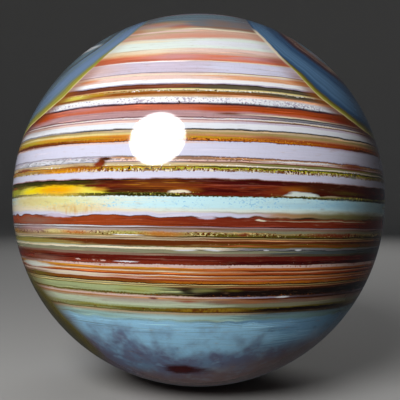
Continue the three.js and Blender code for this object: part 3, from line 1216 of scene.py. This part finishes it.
    def _layers(self) -> tuple[Value, Value]:
        """Colour the level layers.

        Returns:
            The colour, and how strongly fine lines mark it.
        """
        bench, place = self.bench, self.place
        drift = place.right * 0.92 + place.back * 0.39 + self.DRIFT_SHIFT
        drift = drift + self._stone_cloud(BROAD_DRIFT) * self.DRIFT_WANDER
        drift = drift + self._layer_cloud(THIN_DRIFT) * self.DRIFT_WANDER
        colour, grain = None, None
        for top, run in self._beds():
            down = (top - place.height) * (1 / (top - run[-1].floor))
            west = bench.add("ShaderNodeValToRGB", {"stops": self._stops(top, run, False)}, {0: down})
            east = bench.add("ShaderNodeValToRGB", {"stops": self._stops(top, run, True)}, {0: down})
            turn = (west.output("Alpha") - 0.5) * (2 * self.TURN_REACH)
            eastward = bench.rise(drift - turn, -self.TURN_SOFTNESS, self.TURN_SOFTNESS)
            bed, bed_grain = bench.mix(eastward, west, east), east.output("Alpha")
            if colour is None:
                colour, grain = bed, bed_grain
                continue
            below = place.height < top
            colour = bench.mix(below, colour, bed)
            grain = grain + (bed_grain - grain) * below
        return colour, grain

    def _hairlines(self) -> None:
        """Draw the finest light and dark lines along the layers, and the fibres across them."""
        bench = self.bench
        dark = bench.rise(self._layer_cloud(DARK_LINES), 0.15, 0.9) * self.grain * 0.85
        self.colour = bench.mix(dark, self.colour, bench.tinted(self.colour, 0.34, 0.24, 0.18))
        pale = bench.rise(self._layer_cloud(PALE_LINES), 0.35, 1.0) * self.grain * 0.85
        light = bench.mix(0.1, bench.tinted(self.colour, 2.6, 2.2, 1.8), Tone.CREAM.light)
        self.colour = bench.mix(pale, self.colour, light)
        fibres = bench.rise(self._layer_cloud(UPRIGHT_FIBRES), 0.0, 1.6) * (self.grain * 0.5 + 0.12)
        self.colour = bench.mix(fibres, self.colour, bench.tinted(self.colour, 0.72, 0.70, 0.68))

    def _specks(self) -> Value:
        """Strew the specks along their layers.

        Returns:
            Where they are.
        """
        patchy = self._layer_cloud(SPECKLED_PATCHES) * 0.35
        fields = {}
        for drawn_out, cloud in ((False, ROUND_GRAINS), (True, TICKS)):
            grains = self._layer_cloud(cloud)
            fields[drawn_out, False] = patchy + grains
            fields[drawn_out, True] = patchy - grains
        group = self._speck_group()
        strewn = None
        for specks in SPECKS:
            inputs = {
                "Height": self.place.height,
                "Level": specks.height,
                "Reach": specks.reach,
                "Field": fields[specks.drawn_out, specks.between],
                "Start": specks.rarity * 1.6,
                "Under": self.colour,
                "Tone": specks.tone.light,
            }
            self.colour = self.bench.add("ShaderNodeGroup", {"node_tree": group}, inputs, "Colour")
            cover = self.colour.output("Cover")
            strewn = cover if strewn is None else strewn.most(cover)
        return strewn

    @staticmethod
    def _speck_group() -> bpy.types.NodeTree:
        """Build the group that strews one kind of speck over a colour.

        Returns:
            The group's tree.
        """
        kinds = {"Height": "Float", "Level": "Float", "Reach": "Float", "Field": "Float", "Start": "Float"}
        recipe = Recipe("specks", **kinds, Under="Color", Tone="Color")
        takes = recipe.takes
        away = recipe.size_of(takes["Height"] - takes["Level"])
        near = recipe.rise(away, takes["Reach"], takes["Reach"] * 0.5)
        cover = recipe.rise(takes["Field"], takes["Start"], takes["Start"] + 0.25) * near
        return recipe.close(Colour=recipe.mix(cover, takes["Under"], takes["Tone"]), Cover=cover)

    def _foot(self) -> None:
        """Cloud the quartz of the foot."""
        bench, place = self.bench, self.place
        inside = bench.rise(place.up, *self.FOOT_HEIGHTS)
        blotches = self._stone_cloud(FOOT_BLOTCHES)
        depth = bench.rise(place.up, *self.FOOT_CLOUD_HEIGHTS, -0.5, 1.6) - place.right * 0.014
        murk = bench.rise(blotches + depth, -0.3, 1.2) * inside * 0.9
        veil = bench.rise(self._stone_cloud(FOOT_VEILS), -0.4, 0.9)
        smoke = bench.mix(veil, Tone.SMOKE.light, Tone.PERIWINKLE.light)
        self.colour = bench.mix(murk, self.colour, smoke)
        self._lay(bench.rise(self._stone_cloud(FOOT_PALE), 0.15, 1.0) * inside * 0.35, Tone.MIST_BLUE)
        self._lay(bench.rise(self._stone_cloud(FOOT_DARK), 0.4, 1.3) * inside * 0.5, Tone.PLUM)
        low = place.up + blotches * 2.0 - place.right.most(0.0) * 0.35
        self._lay(bench.rise(low, *self.SOLE_HEIGHTS) * 0.75, Tone.FAWN)

    def _sits_on(self, height: float) -> Value:
        """Give 1 above a height and 0 below it, for what sits there with a flat foot."""
        return self.bench.rise(self.place.height, height - self.FLAT_FOOT, height + self.FLAT_FOOT)

    def _pools(self) -> None:
        """Lay the pools of the sides and the back over the layers."""
        fields = {}
        for number, cloud in POOL_FIELDS.items():
            fields[number] = self._layer_cloud(cloud)
            fields[-number] = fields[number] * -1.0
        unseen = self.bench.rise(self.place.back, *self.UNSEEN_BACK)
        group = self._pool_group()
        for pool in POOLS:
            cover = unseen * pool.strength
            if pool.sits:
                cover = cover * self._sits_on(pool.height)
            inputs = {
                "Height": self.place.height,
                "Level": pool.height,
                "Slope": 0.9 / pool.reach,
                "Field": fields[pool.field],
                "Start": pool.rarity * 1.6 - 0.35,
                "Cover": cover,
                "Under": self.colour,
                "Tone": pool.tone.light,
            }
            self.colour = self.bench.add("ShaderNodeGroup", {"node_tree": group}, inputs)

    @staticmethod
    def _pool_group() -> bpy.types.NodeTree:
        """Build the group that lays one kind of pool over a colour.

        Returns:
            The group's tree.
        """
        kinds = {"Height": "Float", "Level": "Float", "Slope": "Float", "Field": "Float", "Start": "Float"}
        recipe = Recipe("pool", **kinds, Cover="Float", Under="Color", Tone="Color")
        takes = recipe.takes
        away = recipe.size_of(takes["Height"] - takes["Level"])
        cover = recipe.rise(takes["Field"] - away * takes["Slope"], takes["Start"], takes["Start"] + 0.2)
        return recipe.close(Colour=recipe.mix(cover * takes["Cover"], takes["Under"], takes["Tone"]))

    def _lens_tools(self) -> tuple[bpy.types.NodeTree, Value, dict[Drawn, Feed]]:
        """Build what all lenses share.

        Returns:
            The group that lays one lens, how ragged its border is, and the ways that its colour lies in it.
        """
        bench = self.bench
        ragged = self._layer_cloud(RAGGED_BORDERS) * 0.1
        drawn = {
            Drawn.SOLID: 1.0,
            Drawn.FIBRES: bench.rise(self._layer_cloud(LENS_FIBRES), -0.3, 0.7),
            Drawn.VEINS: bench.rise(bench.size_of(self._layer_cloud(LENS_VEINS)), 0.16, 0.03),
            Drawn.STREAKS: bench.rise(self._layer_cloud(LENS_STREAKS), -0.1, 0.8),
        }
        return self._lens_group(), ragged, drawn

    def _lenses(
        self,
        lenses: Sequence[Lens],
        group: bpy.types.NodeTree,
        ragged: Value,
        drawn: dict[Drawn, Feed],
    ) -> None:
        """Lay some lenses over the colour so far.

        Args:
            lenses: the lenses, the lowest first.
            group: the group that lays one of them.
            ragged: how ragged their borders are.
            drawn: the ways that their colour lies in them.
        """
        for lens in lenses:
            cover = drawn[lens.drawn] * lens.strength
            if lens.sits:
                cover = cover * self._sits_on(lens.height)
            inputs = {
                "Place": self.place.warped,
                "Middle": self._on_ball(lens.bearing, lens.height),
                "Size": (2 * lens.half_length, 2 * lens.half_length, 2 * lens.half_height),
                "Ragged": ragged,
                "Start": (1 - lens.edge) / 2,
                "End": (1 + lens.edge) / 2,
                "Cover": cover,
                "Under": self.colour,
                "Tone": lens.tone.light,
            }
            self.colour = self.bench.add("ShaderNodeGroup", {"node_tree": group}, inputs)

    @staticmethod
    def _lens_group() -> bpy.types.NodeTree:
        """Build the group that lays one lens over a colour.

        The Gradient Texture gives a ball of fading light. It is stretched so that the lens ends half way out.

        Returns:
            The group's tree.
        """
        kinds = {"Place": "Vector", "Middle": "Vector", "Size": "Vector", "Ragged": "Float", "Start": "Float"}
        recipe = Recipe("lens", **kinds, End="Float", Cover="Float", Under="Color", Tone="Color")
        takes = recipe.takes
        inputs = {"Vector": takes["Place"], "Location": takes["Middle"], "Scale": takes["Size"]}
        inward = recipe.add("ShaderNodeMapping", {"vector_type": "TEXTURE"}, inputs)
        settings = {"gradient_type": "SPHERICAL"}
        inward = recipe.add("ShaderNodeTexGradient", settings, {"Vector": inward}, "Fac")
        cover = recipe.rise(inward - takes["Ragged"], takes["Start"], takes["End"])
        return recipe.close(Colour=recipe.mix(cover * takes["Cover"], takes["Under"], takes["Tone"]))

    def _on_ball(self, bearing: float, height: float) -> tuple[float, float, float]:
        """Give a point of the ball's surface.

        Args:
            bearing: degrees round the ball from the middle of the photograph's view, to the right.
            height: above the ball's centre, in millimetres.

        Returns:
            The point, in millimetres from the ball's centre.
        """
        from_axis = math.sqrt(self.RADIUS ** 2 - height ** 2)
        angle = math.radians(bearing)
        return (from_axis * math.sin(angle), -from_axis * math.cos(angle), height)

    def _walls(self) -> None:
        """Line the walls of the old hollow."""
        bench, place = self.bench, self.place
        uneven = self._stone_cloud(WALL_WAVES) * 0.2
        uneven = uneven + self._stone_cloud(WALL_BULGES) * bench.rise(place.back, -30.0, 0.0, 0.0, 2.0)
        uneven = uneven - bench.rise(place.up, 25.0, 15.0, 0.0, 2.4) * bench.rise(place.up, 0.0, 10.0)
        uneven = uneven + bench.rise(place.up, 34.0, 41.0, 0.0, 0.6) * bench.rise(place.right, 0.0, -10.0)
        for shore, bands in LININGS.items():
            behind = self._behind([wall for wall in WALLS if wall.shore is shore]) + uneven
            near = bench.rise(behind, *self.HALO_DEPTHS) * bench.rise(place.up, 36.0, 23.0, 0.25, 0.85)
            near = near * bench.rise(place.up, -18.0, 8.0, 0.5, 1.0)
            halo = bench.mix(bench.rise(place.up, 19.0, 25.0), Tone.CHESTNUT.light, Tone.BRONZE.light)
            self.colour = bench.mix(near, self.colour, halo)
            edge = bands[0].edge
            self.colour = bench.mix(bench.rise(behind, -edge, edge), self.colour, self._lining(behind, bands))
            face = bench.rise(bench.size_of(behind), 0.4, 0.1) * bench.rise(place.up, 31.0, 36.0)
            face = face * bench.rise(place.up, 45.0, 43.0) * bench.rise(place.right, 0.0, 10.0)
            self._lay(face * 0.8, Tone.CREAM)

    def _lining(self, behind: Value, bands: Sequence[Band]) -> Value:
        """Colour the lining behind a wall, with its finest rings.

        Args:
            behind: how far behind the wall's face, in millimetres.
            bands: the lining's bands.

        Returns:
            The colour.
        """
        bench, place = self.bench, self.place
        deepest = bands[-1].depth
        stops = []
        front, front_edge = 0.0, 0.0
        for band in bands:
            stops.append(((front + front_edge / 2) / deepest, band.tone.light))
            stops.append(((band.depth - band.edge / 2) / deepest, band.tone.light))
            front, front_edge = band.depth, band.edge
        waved = behind + self._stone_cloud(LINING_WAVES) * 0.12
        depth = waved * bench.rise(place.up, 16.0, 44.0, 0.42, 1.3) + bench.rise(place.up, 30.0, 42.0)
        lining = bench.add("ShaderNodeValToRGB", {"stops": stops}, {0: depth * (1 / deepest)})
        rings = bench.add("ShaderNodeCombineXYZ", {}, {0: depth, 1: place.up * 0.02, 2: place.right * 0.02})
        rings = bench.cloud(rings, LINING_RINGS)
        lining = bench.mix(bench.rise(rings, -0.2, 1.0) * 0.45, lining, bench.tinted(lining, 0.5, 0.52, 0.58))
        return bench.mix(bench.rise(rings, -0.2, -1.0) * 0.45, lining, bench.tinted(lining, 1.6, 1.6, 1.6))

    def _behind(self, walls: Sequence[Wall]) -> Value:
        """Give how far a place is behind the nearest of some walls, less than nothing in front of them.

        Args:
            walls: the walls.

        Returns:
            The distance, in millimetres.
        """
        behind = None
        for wall in walls:
            lift, bearing = math.radians(wall.lift), math.radians(wall.bearing)
            outward = self.place.right * math.sin(bearing) - self.place.back * math.cos(bearing)
            reach = outward * math.cos(lift) + self.place.up * math.sin(lift) - wall.distance
            behind = reach if behind is None else behind.most(reach)
        return behind

    def _paint_shade_on_right(self) -> None:
        """Paint shade into the stone's colour: darken its right side and the right of its foot, where the key
        lamp's light falls off, fading out towards the back.
        """
        bench, place = self.bench, self.place
        side = bench.rise(place.right - place.up * 0.2, *self.SHADED_RIGHT)
        under = bench.rise(place.right, *self.SHADED_RIGHT_OF_FOOT)
        under = under * bench.rise(place.up, *self.SHADED_FOOT_HEIGHTS) * 0.75
        share = side.most(under) * bench.rise(place.back, *self.SHADE_FADES_BACK)
        # painted shade: the colour is darkened to about a third at its fullest
        self.colour = bench.mix(share, self.colour, bench.tinted(self.colour, 0.36, 0.34, 0.33))

    def _gloss(self, strewn: Value) -> None:
        """Put the colour under the polish and finish the material.

        Args:
            strewn: where the specks are, which take less polish.
        """
        roughness = self.grain * 0.02 + self._layer_cloud(FINE_GRAIN) * 0.01 + strewn * 0.04
        relief = self._stone_cloud(LONG_RELIEF) + self._stone_cloud(ROUND_RELIEF)
        inputs = {"Height": relief, "Distance": self.RELIEF_METRES, "Strength": 1.0}
        inputs = {
            "Base Color": self.colour,
            "Roughness": roughness + self.ROUGHNESS,
            "IOR": self.REFRACTION,
            "Normal": self.bench.add("ShaderNodeBump", {}, inputs),
        }
        surface = self.bench.add("ShaderNodeBsdfPrincipled", {}, inputs)
        self.bench.add("ShaderNodeOutputMaterial", {}, {"Surface": surface})


def put_in_scene(name: str, shape: bmesh.types.BMesh) -> bpy.types.Object:
    """Turn a finished shape into an object of the scene.

    Args:
        name: of the mesh and of the object.
        shape: the shape, which is freed.

    Returns:
        The new object, at the origin.
    """
    mesh = bpy.data.meshes.new(name)
    shape.to_mesh(mesh)
    shape.free()
    piece = bpy.data.objects.new(name, mesh)
    bpy.context.collection.objects.link(piece)
    return piece


@dataclass(frozen=True)
class AgateBall:
    """The ball itself, a fine round mesh with its small level rest spot.

    Args:
        radius: of the ball, in metres.
        centre: the ball's centre, in metres.
        rounds: how many times the starting solid's faces are halved each way.
    """

    radius: float
    centre: tuple[float, float, float]
    rounds: int = 7

    def build(self) -> bpy.types.Object:
        """Make the ball's mesh and object.

        Returns:
            The new object, at the origin.
        """
        ball = bmesh.new()
        bmesh.ops.create_icosphere(ball, subdivisions=self.rounds, radius=self.radius)
        bmesh.ops.translate(ball, verts=ball.verts, vec=self.centre)
        everything = list(ball.verts) + list(ball.edges) + list(ball.faces)
        ground = {"plane_co": (0, 0, 0), "plane_no": (0, 0, 1)}
        cut = bmesh.ops.bisect_plane(ball, geom=everything, clear_inner=True, **ground)
        rim = [part for part in cut["geom_cut"] if isinstance(part, bmesh.types.BMEdge)]
        spot = bmesh.ops.holes_fill(ball, edges=rim)["faces"]
        for face in ball.faces:
            face.smooth = True
        for face in spot:
            face.smooth = False
        return put_in_scene("polished_ball", ball)

    def dress(self, piece: bpy.types.Object) -> None:
        """Give the ball its finish and its place in the frame.

        Args:
            piece: the ball's object.
        """
        piece.data.materials.append(PolishedAgate(self.centre).paint())
        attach(piece, BODY)
        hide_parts(NODE)


@dataclass(frozen=True)
class Lamp:
    """A round soft lamp that faces the ball.

    Args:
        name: the lamp's name.
        toward: its direction from the ball's centre.
        distance: from the ball's centre, in metres.
        width: its diameter, in metres.
        power: in watts.
        shines: whether polished stone mirrors it.
        lights: whether it lights what isn't polished.
    """

    name: str
    toward: tuple[float, float, float]
    distance: float
    width: float
    power: float
    shines: bool = True
    lights: bool = True


# the way from the ball's centre to the lamp that the photograph's highlight shows
KEY_SIDE = (-0.353, -0.774, 0.526)

LAMPS = (
    Lamp("key_lamp", KEY_SIDE, 0.41, 0.208, 1.6),
    Lamp("glint_lamp", KEY_SIDE, 0.409, 0.208, 1.2, lights=False),
    Lamp("fill_lamp", (0.15, 0.8, 0.6), 0.7, 0.5, 1.2, shines=False),
)


@dataclass(frozen=True)
class Studio:
    """A plain pale floor under plain soft lamps, and the camera at the photograph's place.

    Args:
        centre: the ball's centre, in metres.
        radius: of the ball, in metres.
        camera_in_radii: from the ball's centre to the camera, in radii of the ball.
        lens: the camera's focal length, in millimetres.
        sensor: how wide its sensor is, in millimetres.
        sideways: how far the picture is shifted to the side, as a share of its width.
        floor_radius: of the level part of the floor, in metres.
        flats_round: how many flats the floor has round its rim.
        sweep_radius: of the sweep from the floor up into the wall, in metres.
        sweep_steps: how many flats the sweep has.
        wall_height: of the wall's top above the floor, in metres.
        floor_tone: the floor's red, green and blue from 0 to 255.
        floor_roughness: how matt the floor is, from 0 to 1.
        sky_tone: red, green and blue of the light from all round, from 0 to 255.
        sky_strength: how strong that light is.
    """

    centre: tuple[float, float, float]
    radius: float
    camera_in_radii: float = 3.72
    lens: float = 60.17
    sensor: float = 36.0
    sideways: float = 0.00325
    floor_radius: float = 0.9
    flats_round: int = 96
    sweep_radius: float = 0.5
    sweep_steps: int = 16
    wall_height: float = 1.5
    floor_tone: tuple[int, int, int] = (174, 173, 171)
    floor_roughness: float = 0.7
    sky_tone: tuple[int, int, int] = (150, 156, 165)
    sky_strength: float = 0.1

    def build(self) -> None:
        """Make the floor, the lamps, the sky and the camera."""
        self._floor()
        for lamp in LAMPS:
            self._hang(lamp)
        self._sky()
        self._camera()

    def _outline(self) -> list[tuple[float, float]]:
        """Draw the floor's outline from its middle, along the sweep and up to the wall's top.

        Returns:
            How far out and how high each point is, in metres.
        """
        outline = [(0.0, 0.0), (self.floor_radius, 0.0)]
        for step in range(1, self.sweep_steps + 1):
            angle = math.radians(90 * step / self.sweep_steps)
            out = self.floor_radius + self.sweep_radius * math.sin(angle)
            outline.append((out, self.sweep_radius * (1 - math.cos(angle))))
        outline.append((self.floor_radius + self.sweep_radius, self.wall_height))
        return outline

    def _floor(self) -> None:
        """Lay the floor, a wide level disc whose rim sweeps up into a plain wall."""
        sheet = bmesh.new()
        verts = [sheet.verts.new((out, 0.0, up)) for out, up in self._outline()]
        edges = [sheet.edges.new(pair) for pair in zip(verts, verts[1:])]
        turn = {"cent": (0, 0, 0), "axis": (0, 0, 1), "angle": math.tau, "steps": self.flats_round}
        bmesh.ops.spin(sheet, geom=verts + edges, use_merge=True, **turn)
        bmesh.ops.remove_doubles(sheet, verts=sheet.verts, dist=self.floor_radius * MM)
        bmesh.ops.recalc_face_normals(sheet, faces=sheet.faces)
        bmesh.ops.reverse_faces(sheet, faces=sheet.faces)
        for face in sheet.faces:
            face.smooth = True
        floor = put_in_scene("floor", sheet)
        material = bpy.data.materials.new("pale_floor")
        bench = Bench(material)
        inputs = {"Base Color": linear(self.floor_tone), "Roughness": self.floor_roughness}
        paint = bench.add("ShaderNodeBsdfPrincipled", {}, inputs)
        bench.add("ShaderNodeOutputMaterial", {}, {"Surface": paint})
        floor.data.materials.append(material)
        floor.visible_glossy = False

    def _hang(self, lamp: Lamp) -> None:
        """Hang a lamp.

        Args:
            lamp: the lamp.
        """
        light = bpy.data.lights.new(lamp.name, "AREA")
        light.shape = "DISK"
        light.size = lamp.width
        light.energy = lamp.power
        hung = bpy.data.objects.new(lamp.name, light)
        way = Vector(lamp.toward).normalized()
        hung.location = Vector(self.centre) + way * lamp.distance
        hung.rotation_euler = way.to_track_quat("Z", "Y").to_euler()
        hung.visible_glossy = lamp.shines
        hung.visible_diffuse = lamp.lights
        bpy.context.collection.objects.link(hung)

    def _sky(self) -> None:
        """Light the scene softly from all round."""
        world = bpy.data.worlds.new("studio")
        bench = Bench(world)
        inputs = {"Color": linear(self.sky_tone), "Strength": self.sky_strength}
        glow = bench.add("ShaderNodeBackground", {}, inputs)
        bench.add("ShaderNodeOutputWorld", {}, {"Surface": glow})
        bpy.context.scene.world = world

    def _camera(self) -> None:
        """Set the camera level with the ball's centre, as the photograph was taken."""
        camera = bpy.data.cameras.new("photo_camera")
        camera.lens = self.lens
        camera.sensor_width = self.sensor
        camera.shift_x = self.sideways
        view = bpy.data.objects.new("photo_camera", camera)
        view.location = Vector(self.centre) - Vector((0, self.camera_in_radii * self.radius, 0))
        view.rotation_euler = (math.radians(90), 0, 0)
        bpy.context.collection.objects.link(view)
        bpy.context.scene.camera = view


def main() -> None:
    """Build the ball and its studio."""
    logging.basicConfig(level=logging.INFO, format="%(name)s: %(message)s")
    low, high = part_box(NODE)
    radius = (high.x - low.x) / 2
    centre = ((low.x + high.x) / 2, (low.y + high.y) / 2, high.z - radius)
    Studio(centre, radius).build()
    log.info("floor, lamps and camera are up")
    ball = AgateBall(radius, centre)
    piece = ball.build()
    log.info("%s: %d faces", piece.name, len(piece.data.polygons))
    ball.dress(piece)
    log.info("%s: %s", piece.name, piece.data.materials[0].name)
    bpy.context.scene.view_settings.view_transform = "Standard"


if __name__ == "__main__":
    main()
